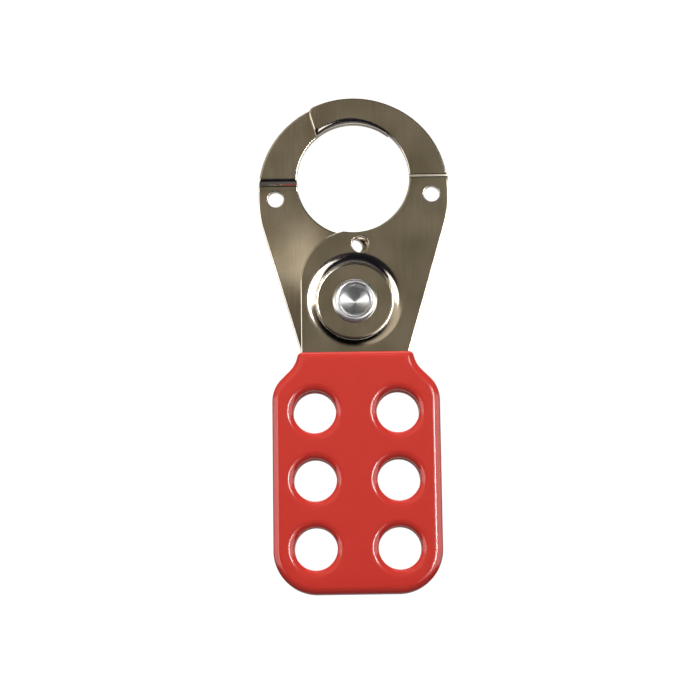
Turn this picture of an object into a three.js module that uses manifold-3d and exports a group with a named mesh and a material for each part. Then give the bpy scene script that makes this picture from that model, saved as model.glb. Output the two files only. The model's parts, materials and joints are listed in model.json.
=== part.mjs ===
// Lockout hasp with a 25 mm jaw.
//
// Two pressed and plated steel plates cross like scissors on one rivet. Above the rivet
// each plate is one half of a ring, and the two halves overlap at the crown to close round
// the hasp of a switch. Below it each plate is a handle, dipped in soft plastic, with six
// holes that line up with the other handle's when the jaws are shut.
//
// Millimetres, +Z up, the front faces -Y. The origin is the centre of the jaw opening, on
// the plane between the two plates. The rear half is the front half turned about +Z.

import * as THREE from "three";
import { mergeVertices } from "three/addons/utils/BufferGeometryUtils.js";
import Module from "manifold-3d";

const wasm = await Module();
wasm.setup();

// ---- Driving dimensions: sheet, coat and the gaps between the halves ----
const sheetThickness = 1.6;
const coatThickness = 0.85;
const handleGap = 0.4;
const jawGap = 0.2;
const bossGap = 0.1;
const coatFit = 0.1;

// ---- Driving dimensions: jaw ----
const openingRadius = 12.7;
const jawWidth = 8.7;
const crownWidth = 5.8;
const jawSideLength = 1.95;
const tipInnerAngle = 129.5;
const tipOuterAngle = 118;
const tipRound = 1.6;
const joggleLength = 1.9;
const joggleDrop = 0.2;
const jawHoleRadius = 1.8;
const jawHoleEdge = 3.8;
const jawHoleDrop = 4.2;

// ---- Driving dimensions: pivot ----
const bossFloorRadius = 8.65;
const bossWallLength = 2.75;
const bossWeb = 4.1;
const neckLand = 0.6;
const padOverlap = 0.4;
const gaugeHoleRadius = 1.9;
const gaugeHoleDrop = 2.8;
const frontGaugeHoleShift = 1.4;
const rearGaugeHoleShift = 0;

// ---- Driving dimensions: rivet ----
const shankRadius = 3.9;
const shankFit = 0.1;
const seatFit = 0.05;
const clinchRadius = 4.95;
const clinchHeight = 1.0;
const drillRadius = 3.4;
const drillDepth = 1.4;
const drillPointAngle = 118;
const domeRadius = 5.6;
const domeHeight = 1.5;

// ---- Driving dimensions: handle, over the coat ----
const handleWidth = 37.1;
const coatTopLand = 0.16;
const rimCornerExtra = 0.1;
const shoulderHollow = 5.8;
const shoulderRound = 7.0;
const steepestFlank = 45;
const padlockHoleRadius = 4.725;
const lipWidth = 1.7;
const lipDepth = 1.0;
const firstRowDrop = 13.44;
const rowSpacing = 15.05;
const rowCount = 3;
const columnMargin = 9.35;
const endMargin = 9.96;
const handleCornerRadius = 9.6;
const coatEdgeRadius = 1.3;

// ---- How finely round forms are cut into flats ----
const facetAngle = 9;
const smallHoleFacets = 28;
const lipFacets = 3;
const edgeFacets = 3;
const stepFacets = 3;

// ---- Places that follow from the driving dimensions ----
const headRadius = openingRadius + jawWidth;
const crownZ = openingRadius + crownWidth - headRadius;
const jawSideZ = crownZ - jawSideLength;
const bossRadius = bossFloorRadius + bossWallLength;
const pivotZ = -(openingRadius + bossWeb + bossRadius);
const neckHalfWidth = bossRadius + neckLand;
const padZ = -(openingRadius + neckHalfWidth - padOverlap);

// Each plate's middle surface: how far it stands from the plane between the plates.
const bodyOffset = handleGap / 2 + coatThickness + sheetThickness / 2;
const jawOffset = jawGap / 2 + sheetThickness / 2;
const bossOffset = bossGap / 2 + sheetThickness / 2;

const coatTopZ = pivotZ - bossRadius - coatTopLand;
const handleHalfWidth = handleWidth / 2;
const coatNeckHalfWidth = neckHalfWidth + coatThickness;
const lastRowZ = coatTopZ - firstRowDrop - rowSpacing * (rowCount - 1);
const handleEndZ = lastRowZ - endMargin;
const columnX = handleHalfWidth - columnMargin;
const plateHoleRadius = padlockHoleRadius + coatThickness;
const farSide = bodyOffset + sheetThickness + coatThickness;

const radians = THREE.MathUtils.degToRad;

// ---- Outline helpers: points in the plane of a section ----

// Points round an arc, both ends included. Angles in degrees from the first axis.
function arc(centreU, centreV, radius, fromAngle, toAngle, step = facetAngle) {
  const count = Math.max(1, Math.ceil(Math.abs(toAngle - fromAngle) / step));
  return Array.from({ length: count + 1 }, (_, i) => {
    const angle = radians(fromAngle + ((toAngle - fromAngle) * i) / count);
    return new THREE.Vector2(centreU + radius * Math.cos(angle), centreV + radius * Math.sin(angle));
  });
}

// A step pressed into sheet metal: two equal arcs, tangent to each other and to the flats on
// both sides. It runs from (start, level) to (start + length, level + rise) along the middle
// of the sheet, and the points are those of the face that lies `offset` away from it.
function pressedStep(start, length, level, rise, offset) {
  const bend = 2 * Math.atan2(Math.abs(rise), length);
  const radius = length / (2 * Math.sin(bend));
  const side = Math.sign(rise);
  const points = [];
  for (let i = 0; i <= 2 * stepFacets; i += 1) {
    const leaving = i < stepFacets;
    const turn = (bend * (leaving ? i : 2 * stepFacets - i)) / stepFacets;
    const along = radius * Math.sin(turn);
    const lift = side * radius * (1 - Math.cos(turn));
    const u = leaving ? start + along : start + length - along;
    const v = leaving ? level + lift : level + rise - lift;
    points.push(new THREE.Vector2(u - side * offset * Math.sin(turn), v + offset * Math.cos(turn)));
  }
  return points;
}

const mirrored = (points) => points.map((p) => new THREE.Vector2(-p.x, p.y)).reverse();
const swapped = (points) => points.map((p) => new THREE.Vector2(p.y, p.x));

// A closed outline, with each point where two stretches join kept once.
function closedShape(points) {
  const apart = (p, i) => p.distanceTo(points.at(i - 1)) > 1e-4;
  return new THREE.Shape(points.filter(apart));
}

// ---- Solid helpers ----

// A closed geometry as a solid that can be joined and cut.
function solid(geometry) {
  geometry.deleteAttribute("normal");
  geometry.deleteAttribute("uv");
  const merged = mergeVertices(geometry, 1e-5);
  const corners = merged.index.array;
  const kept = [];
  for (let i = 0; i < corners.length; i += 3) {
    const [a, b, c] = [corners[i], corners[i + 1], corners[i + 2]];
    if (a !== b && b !== c && c !== a) {
      kept.push(a, b, c);
    }
  }
  return new wasm.Manifold(new wasm.Mesh({
    numProp: 3,
    vertProperties: merged.attributes.position.array,
    triVerts: Uint32Array.from(kept),
  }));
}

// An outline in X and Z, extruded along Y. An edge radius rounds it without making it wider.
function extrudeAlongY(outline, nearY, farY, edgeRadius = 0) {
  const geometry = new THREE.ExtrudeGeometry(closedShape(outline), {
    depth: farY - nearY - 2 * edgeRadius,
    bevelEnabled: edgeRadius > 0,
    bevelThickness: edgeRadius,
    bevelSize: edgeRadius,
    bevelOffset: -edgeRadius,
    bevelSegments: edgeFacets,
  });
  geometry.rotateX(Math.PI / 2);
  geometry.translate(0, farY - edgeRadius, 0);
  return solid(geometry);
}

// A section in Y and Z, extruded along X to both sides.
function extrudeAlongX(section, halfWidth) {
  const geometry = new THREE.ExtrudeGeometry(closedShape(section), {
    depth: 2 * halfWidth,
    bevelEnabled: false,
  });
  const toSideways = new THREE.Matrix4().makeBasis(
    new THREE.Vector3(0, 1, 0),
    new THREE.Vector3(0, 0, 1),
    new THREE.Vector3(1, 0, 0),
  );
  geometry.applyMatrix4(toSideways);
  geometry.translate(-halfWidth, 0, 0);
  return solid(geometry);
}

// A profile of radius and Y, turned round an axis that lies along Y.
function turned(profile, x, z, facets = Math.round(360 / facetAngle)) {
  const geometry = new THREE.LatheGeometry(profile, facets);
  geometry.translate(x, 0, z);
  return solid(geometry);
}

// A round hole along Y, right through everything.
function drilled(radius, x, z, facets = smallHoleFacets) {
  return turned([
    new THREE.Vector2(0, -farSide),
    new THREE.Vector2(radius, -farSide),
    new THREE.Vector2(radius, farSide),
    new THREE.Vector2(0, farSide),
  ], x, z, facets);
}

function eachPadlockHole(visit) {
  for (let row = 0; row < rowCount; row += 1) {
    const z = coatTopZ - firstRowDrop - rowSpacing * row;
    visit(-columnX, z);
    visit(columnX, z);
  }
}

// ---- Plate ----

// The right-hand edge of the handle from the neck down to the flat of its end. An inset
// moves it in from the coat's outside, which leaves every arc on the same centre. It can
// start a little way round the hollow of the shoulder.
function handleSide(inset, start = 0) {
  const spread = handleHalfWidth - coatNeckHalfWidth;
  const bothRadii = shoulderHollow + shoulderRound;
  const flank = Math.min(radians(steepestFlank), Math.acos(1 - spread / bothRadii));
  const flat = (spread - bothRadii * (1 - Math.cos(flank))) / Math.sin(flank);
  const roundZ = coatTopZ - bothRadii * Math.sin(flank) - flat * Math.cos(flank);
  const turn = THREE.MathUtils.radToDeg(flank);
  const cornerX = handleHalfWidth - handleCornerRadius;
  const cornerZ = handleEndZ + handleCornerRadius;
  const hollowX = coatNeckHalfWidth + shoulderHollow;
  const roundX = handleHalfWidth - shoulderRound;
  return [
    ...arc(hollowX, coatTopZ, shoulderHollow + inset, 180 + start, 180 + turn),
    ...arc(roundX, roundZ, shoulderRound - inset, turn, 0),
    ...arc(cornerX, cornerZ, handleCornerRadius - inset, 0, -90),
  ];
}

// One plate seen from the front, with its jaw on the right: up the right-hand side, over
// the crown to the tip, back round the opening, and down the left-hand edge of the pivot pad.
function plateOutline() {
  const side = handleSide(coatThickness);
  const neckToSide = Math.hypot(neckHalfWidth, jawSideZ - coatTopZ);
  const neckBearing = Math.atan2(coatTopZ - jawSideZ, neckHalfWidth);
  const tangent = THREE.MathUtils.radToDeg(neckBearing + Math.acos(headRadius / neckToSide));

  const [tipCorner] = arc(0, crownZ, headRadius, tipOuterAngle, tipOuterAngle);
  const [tipInner] = arc(0, 0, openingRadius, tipInnerAngle, tipInnerAngle);
  const crownEnd = tipOuterAngle - THREE.MathUtils.radToDeg(tipRound / headRadius);
  const crown = arc(0, crownZ, headRadius, 0, crownEnd);
  const tipEdge = tipInner.clone().sub(tipCorner).setLength(tipRound).add(tipCorner);
  const tipCurve = new THREE.QuadraticBezierCurve(crown.at(-1), tipCorner, tipEdge);

  const meetingZ = (openingRadius ** 2 - neckHalfWidth ** 2 + padZ ** 2) / (2 * padZ);
  const meetingX = -Math.sqrt(openingRadius ** 2 - meetingZ ** 2);
  const openingEnd = THREE.MathUtils.radToDeg(Math.atan2(meetingZ, meetingX));
  const padStart = THREE.MathUtils.radToDeg(Math.atan2(meetingZ - padZ, meetingX));

  return [
    ...side.toReversed(),
    new THREE.Vector2(neckHalfWidth, coatTopZ),
    ...arc(0, jawSideZ, headRadius, tangent, 0),
    ...crown,
    ...tipCurve.getPoints(4).slice(1),
    ...arc(0, 0, openingRadius, tipInnerAngle, openingEnd),
    ...arc(0, padZ, neckHalfWidth, padStart, 180).slice(1),
    ...mirrored(side.toReversed()),
  ];
}

// The sheet from the side: flat over the handle and the pivot, then a joggle at the height
// of the opening's centre that brings the jaw in, so that it meets the other plate's jaw.
function bentSheet() {
  const rise = bodyOffset - jawOffset;
  const start = -joggleDrop - joggleLength / 2;
  const face = (offset) => [
    new THREE.Vector2(handleEndZ - farSide, offset - bodyOffset),
    ...pressedStep(start, joggleLength, -bodyOffset, rise, offset),
    new THREE.Vector2(headRadius + farSide, offset - jawOffset),
  ];
  const front = face(-sheetThickness / 2);
  const back = face(sheetThickness / 2);
  return extrudeAlongX(swapped([...front, ...back.toReversed()]), headRadius + farSide);
}

// The round boss at the pivot: pressed in until it meets the other plate's boss, which
// leaves room for the coats between the handles. One solid to add behind the sheet, one
// to take out of its front.
function bossForms() {
  const rise = bossOffset - bodyOffset;
  const face = (offset) => pressedStep(bossFloorRadius, bossWallLength, -bossOffset, rise, offset);
  const bulge = face(sheetThickness / 2);
  const hollow = face(-sheetThickness / 2);
  const added = turned([
    new THREE.Vector2(0, -bodyOffset),
    new THREE.Vector2(bossRadius, -bodyOffset),
    ...bulge.toReversed(),
    new THREE.Vector2(0, bulge[0].y),
  ], 0, pivotZ);
  const removed = turned([
    new THREE.Vector2(0, -farSide),
    new THREE.Vector2(bossRadius, -farSide),
    ...hollow.toReversed(),
    new THREE.Vector2(0, hollow[0].y),
  ], 0, pivotZ);
  return { added, removed };
}

function plate(gaugeHoleShift) {
  const boss = bossForms();
  const blank = extrudeAlongY(plateOutline(), -farSide, farSide);
  let pressing = bentSheet().add(boss.added).subtract(boss.removed).intersect(blank);
  const holes = [
    drilled(shankRadius + shankFit, 0, pivotZ, Math.round(360 / facetAngle)),
    drilled(gaugeHoleRadius, gaugeHoleShift, -(openingRadius + gaugeHoleDrop)),
    drilled(jawHoleRadius, headRadius - jawHoleEdge, -jawHoleDrop),
  ];
  eachPadlockHole((x, z) => holes.push(drilled(plateHoleRadius, x, z)));
  for (const hole of holes) {
    pressing = pressing.subtract(hole);
  }
  return pressing;
}

// ---- Dipped coat of one handle ----

// One padlock hole through the coat: straight in the middle, with both lips rolled over
// the edges of the hole in the plate. A lip is a quarter of an ellipse, wider than deep.
function lippedHole(x, z) {
  const near = -(handleGap / 2 + sheetThickness + 2 * coatThickness);
  const far = -handleGap / 2;
  const flare = padlockHoleRadius + lipWidth;
  const lip = (middleY, fromAngle, toAngle) => arc(0, 0, 1, fromAngle, toAngle, 90 / lipFacets)
    .map((p) => new THREE.Vector2(flare + lipWidth * p.x, middleY + lipDepth * p.y));
  return turned([
    new THREE.Vector2(0, near - farSide),
    new THREE.Vector2(flare, near - farSide),
    ...lip(near + lipDepth, 270, 180),
    ...lip(far - lipDepth, 180, 90),
    new THREE.Vector2(flare, far + farSide),
    new THREE.Vector2(0, far + farSide),
  ], x, z, smallHoleFacets);
}

// The right-hand half of the coat's outside. The corner of its rim touches the hollow of
// the shoulder from outside, so their centres are the sum of their radii apart.
function coatSide() {
  const corner = coatEdgeRadius + rimCornerExtra;
  const across = Math.sqrt((shoulderHollow + corner) ** 2 - corner ** 2);
  const bearing = THREE.MathUtils.radToDeg(Math.atan2(corner, across));
  const cornerX = coatNeckHalfWidth + shoulderHollow - across;
  return [
    ...arc(cornerX, coatTopZ - corner, corner, 90, bearing, 20),
    ...handleSide(0, bearing),
  ];
}

function coat() {
  const near = -(handleGap / 2 + sheetThickness + 2 * coatThickness);
  const far = -handleGap / 2;
  const outside = coatSide();
  const outerSide = extrudeAlongY([...outside, ...mirrored(outside)], near, far, coatEdgeRadius);

  const inset = coatThickness - coatFit;
  const mouth = new THREE.Vector2(coatNeckHalfWidth - inset, coatTopZ + farSide);
  const inside = [mouth, ...handleSide(inset)];
  let cavity = extrudeAlongY([...inside, ...mirrored(inside)], near + inset, far - inset);
  eachPadlockHole((x, z) => {
    cavity = cavity.subtract(drilled(plateHoleRadius - coatFit, x, z));
  });

  let dipped = outerSide.subtract(cavity);
  eachPadlockHole((x, z) => {
    dipped = dipped.subtract(lippedHole(x, z));
  });
  return dipped;
}

// ---- Rivet ----

// Semi-tubular rivet: a domed head at the back, a shank through both bosses, and at the
// front the drilled end rolled outwards into a ring.
function rivet() {
  const seat = bossOffset + sheetThickness / 2 + seatFit;
  const crestY = -(seat + clinchHeight);
  const rollRadius = (clinchRadius - drillRadius) / 2;
  const rollY = crestY + rollRadius;
  const drillEndY = crestY + drillDepth;
  const pointDepth = drillRadius / Math.tan(radians(drillPointAngle / 2));
  const domeSphere = (domeRadius ** 2 + domeHeight ** 2) / (2 * domeHeight);
  const domeEdge = THREE.MathUtils.radToDeg(Math.acos(domeRadius / domeSphere));
  return turned([
    new THREE.Vector2(0, drillEndY + pointDepth),
    new THREE.Vector2(drillRadius, drillEndY),
    ...arc(drillRadius + rollRadius, rollY, rollRadius, 180, 360, 30),
    new THREE.Vector2(clinchRadius, -seat),
    new THREE.Vector2(shankRadius, -seat),
    new THREE.Vector2(shankRadius, seat),
    ...arc(0, seat + domeHeight - domeSphere, domeSphere, domeEdge, 90, 12),
  ], 0, pivotZ);
}

// ---- Pieces ----
const nickelPlate = { color: 0xa9a49a, roughness: 0.22, metalness: 1 };
const rivetSteel = { color: 0xc4c4c2, roughness: 0.3, metalness: 1 };
const redVinyl = { color: 0xc4362e, roughness: 0.35, metalness: 0 };

function piece(name, form, finish) {
  const { vertProperties, triVerts } = form.getMesh();
  const geometry = new THREE.BufferGeometry();
  geometry.setAttribute("position", new THREE.BufferAttribute(vertProperties, 3));
  geometry.setIndex(new THREE.BufferAttribute(triVerts, 1));
  geometry.computeVertexNormals();
  const mesh = new THREE.Mesh(geometry, new THREE.MeshStandardMaterial(finish));
  mesh.name = name;
  return mesh;
}

const frontHalf = new THREE.Group();
frontHalf.add(piece("front_jaw_plate", plate(frontGaugeHoleShift), nickelPlate));
frontHalf.add(piece("front_handle_coating", coat(), redVinyl));
frontHalf.add(piece("pivot_rivet", rivet(), rivetSteel));

const rearHalf = new THREE.Group();
rearHalf.add(piece("rear_jaw_plate", plate(rearGaugeHoleShift), nickelPlate));
rearHalf.add(piece("rear_handle_coating", coat(), redVinyl));
rearHalf.rotation.z = Math.PI;

const hasp = new THREE.Group();
hasp.add(frontHalf, rearHalf);

export default hasp;
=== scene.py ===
# %% [markdown]
# # A lockout hasp
# A lockout hasp is a pair of pressed steel plates that cross like scissors on one rivet. The
# jaws close through the staple of a switch, and the padlocks of everyone at work on the
# machine go through the six holes of the plastic-dipped handles.
# The measured model is loaded first. It fixes where each piece is and how far it turns, and
# every piece made below takes the place of one of its nodes.

# %% Load the measured model
import json
import math

import bpy
import numpy as np
from mathutils import Matrix, Vector


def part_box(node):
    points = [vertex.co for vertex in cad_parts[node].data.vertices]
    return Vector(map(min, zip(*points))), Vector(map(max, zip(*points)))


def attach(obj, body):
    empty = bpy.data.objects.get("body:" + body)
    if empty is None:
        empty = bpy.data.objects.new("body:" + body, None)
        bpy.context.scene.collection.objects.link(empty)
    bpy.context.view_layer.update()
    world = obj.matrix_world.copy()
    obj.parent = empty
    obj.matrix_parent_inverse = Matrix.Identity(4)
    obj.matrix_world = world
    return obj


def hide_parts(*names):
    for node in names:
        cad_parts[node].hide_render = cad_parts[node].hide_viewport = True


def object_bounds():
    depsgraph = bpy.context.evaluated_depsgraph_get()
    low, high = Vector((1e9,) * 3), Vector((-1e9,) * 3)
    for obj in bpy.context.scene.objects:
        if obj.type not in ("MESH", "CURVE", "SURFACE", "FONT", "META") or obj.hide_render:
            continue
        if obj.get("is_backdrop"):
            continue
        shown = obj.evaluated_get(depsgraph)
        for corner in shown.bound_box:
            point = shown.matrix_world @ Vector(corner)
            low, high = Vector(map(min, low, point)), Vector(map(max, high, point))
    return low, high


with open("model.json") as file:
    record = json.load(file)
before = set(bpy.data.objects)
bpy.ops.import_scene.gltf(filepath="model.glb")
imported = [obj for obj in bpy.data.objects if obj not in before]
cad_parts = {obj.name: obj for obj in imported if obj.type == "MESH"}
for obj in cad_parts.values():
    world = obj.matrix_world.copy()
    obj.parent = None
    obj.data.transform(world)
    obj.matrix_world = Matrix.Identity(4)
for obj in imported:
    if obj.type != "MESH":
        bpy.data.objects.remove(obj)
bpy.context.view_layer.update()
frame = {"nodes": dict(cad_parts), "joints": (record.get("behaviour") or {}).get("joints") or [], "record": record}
pivot = Vector(frame["joints"][0]["pos_m"]) * 1000
print("pieces to make:", sorted(frame["nodes"]))
print("pivot at", [round(v, 2) for v in pivot], "mm")

# %% [markdown]
# ## Sizes
# One Blender unit is drawn as 1 mm while a piece is being shaped, because fill and inset
# work best on edges of about that length. A finished piece is brought down to metres.
# X is to the right, Z is up and the front faces -Y. The origin is the centre of the jaw
# opening, on the plane between the two plates.

# %% The sizes of the plates, the coat and the rivet, in millimetres
SHEET = 1.6
COAT = 0.85
HANDLE_GAP = 0.4
BODY_OFFSET = HANDLE_GAP / 2 + COAT + SHEET / 2
JAW_OFFSET = 0.9
BOSS_OFFSET = 0.85

OPENING_RADIUS = 12.7
HEAD_RADIUS = 21.4
CROWN_Z = -2.9
JAW_SIDE_Z = -4.85
TIP_INNER_ANGLE = 129.5
TIP_OUTER_ANGLE = 118
TIP_ROUND = 1.6
SHARP_CORNER_ROOM = 10
JOGGLE_START = -1.15
JOGGLE_LENGTH = 1.9
JOGGLE_OUTER_FOOT = -0.45

BOSS_FLOOR_RADIUS = 8.65
BOSS_RADIUS = 11.4
NECK_HALF_WIDTH = 12.0
PAD_Z = -24.3
RIVET_HOLE_RADIUS = 4.0
GAUGE_HOLE_Z = -15.5
GAUGE_HOLE_RADIUS = 1.9
JAW_HOLE = (17.6, -4.2)
JAW_HOLE_RADIUS = 1.8

COAT_TOP_Z = -39.76
HANDLE_END_Z = -93.26
HANDLE_HALF_WIDTH = 18.55
COAT_NECK_HALF_WIDTH = 12.85
SHOULDER_HOLLOW = 5.8
SHOULDER_ROUND = 7.0
HANDLE_CORNER = 9.6
COAT_EDGE = 1.3
COAT_EDGE_WIDTH = 1.9
COAT_DEPTH = SHEET + 2 * COAT
PADLOCK_HOLE_RADIUS = 4.725
LIP_WIDTH = 1.7
LIP_DEPTH = 1.0
CAVITY_FIT = 0.03
print("sheet", SHEET, "mm, coat", COAT, "mm, opening", 2 * OPENING_RADIUS, "mm across")

# %% [markdown]
# The padlock holes are where the measured model says that a shackle has room, so that the
# holes of both plates and both coats stay in line.

# %% Padlock hole centres from the model's record
padlock_holes = []
for opening in frame["record"]["physics"]["openings"]:
    if opening["name"].startswith("padlock_hole"):
        low, high = opening["box_m"]
        padlock_holes.append(((low[0] + high[0]) * 500, (low[2] + high[2]) * 500))
centres = [(round(x, 2), round(z, 2)) for x, z in padlock_holes]
print(len(padlock_holes), "padlock holes at", centres)

# %% [markdown]
# ## Drawing the outlines
# Both plates are blanked by the same die, so one outline serves for both. It is made of arcs
# and straight lines, and each arc is cut into steps of about half a millimetre: a polished
# edge shows every flat, and a press tool leaves none.

# %% Points along arcs and straight lines
def arc(x, z, radius, start, end, pitch=0.5):
    """Points round an arc, both ends included, with angles in degrees from +X."""
    steps = max(2, math.ceil(abs(math.radians(end - start)) * radius / pitch))
    turns = np.radians(np.linspace(start, end, steps + 1))
    return [(x + radius * math.cos(t), z + radius * math.sin(t)) for t in turns]


def straight(start, end, pitch=1.2):
    """Points between two ends, without the ends themselves."""
    steps = max(1, round(math.dist(start, end) / pitch))
    return [tuple(p) for p in np.linspace(start, end, steps + 1)[1:-1]]


def joined(*stretches):
    """One closed line from several stretches, bridged by straight lines where they are apart."""
    line = []
    for stretch in stretches:
        if line and math.dist(line[-1], stretch[0]) > 2.6:
            line += straight(line[-1], stretch[0])
        line += [p for i, p in enumerate(stretch) if i or not line or math.dist(line[-1], p) > 1e-3]
    while math.dist(line[0], line[-1]) < 1e-3:
        line.pop()
    if math.dist(line[0], line[-1]) > 1.8:
        line += straight(line[-1], line[0])
    return line


def mirrored(points):
    return [(-x, z) for x, z in reversed(points)]


def handle_side(inset, start=0.0):
    """The handle's right-hand edge from the neck down to the flat of its end."""
    spread = HANDLE_HALF_WIDTH - COAT_NECK_HALF_WIDTH
    both = SHOULDER_HOLLOW + SHOULDER_ROUND
    flank = min(math.radians(45), math.acos(1 - spread / both))
    flat = (spread - both * (1 - math.cos(flank))) / math.sin(flank)
    round_z = COAT_TOP_Z - both * math.sin(flank) - flat * math.cos(flank)
    turn = math.degrees(flank)
    hollow_x = COAT_NECK_HALF_WIDTH + SHOULDER_HOLLOW
    corner = (HANDLE_HALF_WIDTH - HANDLE_CORNER, HANDLE_END_Z + HANDLE_CORNER)
    return joined_open(
        arc(hollow_x, COAT_TOP_Z, SHOULDER_HOLLOW + inset, 180 + start, 180 + turn),
        arc(HANDLE_HALF_WIDTH - SHOULDER_ROUND, round_z, SHOULDER_ROUND - inset, turn, 0),
        arc(*corner, HANDLE_CORNER - inset, 0, -90),
    )


def joined_open(*stretches):
    """The same as joined, but left open at its ends."""
    line = []
    for stretch in stretches:
        if line and math.dist(line[-1], stretch[0]) > 1.8:
            line += straight(line[-1], stretch[0])
        line += [p for p in stretch if not line or math.dist(line[-1], p) > 1e-3]
    return line


# %% [markdown]
# The plate's outline goes up the right-hand side, over the crown to the tip, back round the
# opening and down the edge of the round pad that the pivot sits in.

# %% The outline of a plate
def plate_outline():
    side = handle_side(COAT)
    reach = math.hypot(NECK_HALF_WIDTH, JAW_SIDE_Z - COAT_TOP_Z)
    bearing = math.atan2(COAT_TOP_Z - JAW_SIDE_Z, NECK_HALF_WIDTH)
    tangent = math.degrees(bearing + math.acos(HEAD_RADIUS / reach))

    crown_end = TIP_OUTER_ANGLE - math.degrees(TIP_ROUND / HEAD_RADIUS)
    crown = arc(0, CROWN_Z, HEAD_RADIUS, 0, crown_end)
    corner = Vector(arc(0, CROWN_Z, HEAD_RADIUS, TIP_OUTER_ANGLE, TIP_OUTER_ANGLE)[0])
    inner = Vector(arc(0, 0, OPENING_RADIUS, TIP_INNER_ANGLE, TIP_INNER_ANGLE)[0])
    after = corner + (inner - corner).normalized() * TIP_ROUND
    before = Vector(crown[-1])
    tip = [
        tuple(before * (1 - t) ** 2 + corner * 2 * t * (1 - t) + after * t**2)
        for t in np.linspace(0, 1, 7)
    ]

    meet_z = (OPENING_RADIUS**2 - NECK_HALF_WIDTH**2 + PAD_Z**2) / (2 * PAD_Z)
    meet_x = -math.sqrt(OPENING_RADIUS**2 - meet_z**2)
    opening_end = math.degrees(math.atan2(meet_z, meet_x))
    pad_start = math.degrees(math.atan2(meet_z - PAD_Z, meet_x))
    return joined(
        list(reversed(side)),
        arc(NECK_HALF_WIDTH, COAT_TOP_Z, 0, 0, 0)[:1],
        arc(0, JAW_SIDE_Z, HEAD_RADIUS, tangent, 0),
        crown,
        tip,
        [tuple(after + (inner - after) * 0.5), tuple(inner)],
        arc(0, 0, OPENING_RADIUS, TIP_INNER_ANGLE - SHARP_CORNER_ROOM, opening_end),
        arc(0, PAD_Z, NECK_HALF_WIDTH, pad_start, 180),
        mirrored(list(reversed(side))),
    )


outline = plate_outline()
print("plate outline:", len(outline), "points, top at z =", round(max(z for _, z in outline), 2))

# %% [markdown]
# ## The flat net
# A pressing starts as a flat blank. The blank is drawn as a net of faces first, with fine
# rings wherever the press will round or step the metal: along every edge, and round the
# pivot. Pressing it is then one rule that moves the vertices.
# Each vertex carries its distance from the nearest edge, in an attribute that the modelling
# operators pass on to the vertices they make.

# %% Helpers for the flat net
RIM = "rim_distance"


def only(obj):
    bpy.ops.object.select_all(action="DESELECT")
    obj.select_set(True)
    bpy.context.view_layer.objects.active = obj


def edit(kind="FACE"):
    bpy.ops.object.mode_set(mode="EDIT")
    bpy.context.tool_settings.mesh_select_mode = (kind == "VERT", kind == "EDGE", kind == "FACE")


def leave_edit():
    bpy.ops.object.mode_set(mode="OBJECT")


def note_distance(obj, distance):
    """Write the distance from the edge on the vertices that are selected now."""
    leave_edit()
    chosen = np.zeros(len(obj.data.vertices), bool)
    obj.data.vertices.foreach_get("select", chosen)
    values = np.zeros(len(chosen), np.float32)
    obj.data.attributes[RIM].data.foreach_get("value", values)
    values[chosen] = distance
    obj.data.attributes[RIM].data.foreach_set("value", values)
    bpy.ops.object.mode_set(mode="EDIT")


def closed_line(name, points, fill):
    """A closed line in the XZ plane: a circle drawn out to the points."""
    bpy.ops.object.select_all(action="DESELECT")
    bpy.ops.mesh.primitive_circle_add(vertices=len(points), radius=1, fill_type=fill)
    line = bpy.context.object
    line.name = name
    for vertex, (x, z) in zip(line.data.vertices, points):
        vertex.co = (x, 0, z)
    line.data.attributes.new(RIM, "FLOAT", "POINT")
    return line


def quarter_steps(width, steps):
    """Distances that sample a quarter round evenly: close together at the edge itself."""
    return [width * (1 - math.cos(math.pi / 2 * (i + 1) / steps)) for i in range(steps)]


# %% [markdown]
# The rim is inset again and again, which keeps every ring parallel to the edge whatever the
# outline does. The last inset's inner face is deleted, and is filled once the holes are in.

# %% Rings along the outline and round the holes
def rimmed_blank(name, points, distances):
    blank = closed_line(name, points, "NGON")
    edit("FACE")
    bpy.ops.mesh.select_all(action="SELECT")
    reached = 0.0
    for distance in distances:
        bpy.ops.mesh.inset(thickness=distance - reached, depth=0)
        note_distance(blank, distance)
        reached = distance
    bpy.ops.mesh.delete(type="ONLY_FACE")
    leave_edit()
    return blank


def ringed_hole(x, z, radii, distances, facets):
    """Concentric rings round a hole, from its edge outwards."""
    turns = [2 * math.pi * i / facets for i in range(facets)]
    edge = [(x + radii[0] * math.cos(t), z + radii[0] * math.sin(t)) for t in turns]
    hole = closed_line("hole", edge, "NOTHING")
    edit("EDGE")
    bpy.ops.mesh.select_all(action="SELECT")
    for last, radius, distance in zip(radii, radii[1:], distances):
        bpy.ops.mesh.extrude_edges_move()
        growth = radius / last
        bpy.ops.transform.resize(value=(growth, 1, growth), center_override=(x, 0, z))
        note_distance(hole, distance)
    leave_edit()
    return hole


# %% [markdown]
# Where the rings of two features would run into each other, the outer ones are taken away,
# and the fill then closes the space between what is left.

# %% Joining the rings and filling between them
def clear_rings(obj, x, z, radius, beyond):
    """Delete the faces that reach near a point and lie more than `beyond` from their own edge."""
    mesh = obj.data
    rim = [value.value for value in mesh.attributes[RIM].data]
    gap = [math.hypot(vertex.co.x - x, vertex.co.z - z) for vertex in mesh.vertices]
    for face in mesh.polygons:
        near = min(gap[v] for v in face.vertices) < radius
        face.select = near and max(rim[v] for v in face.vertices) > beyond + 1e-4
    only(obj)
    bpy.context.tool_settings.mesh_select_mode = (False, False, True)
    bpy.ops.object.mode_set(mode="EDIT")
    bpy.ops.mesh.delete(type="FACE")
    leave_edit()


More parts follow.
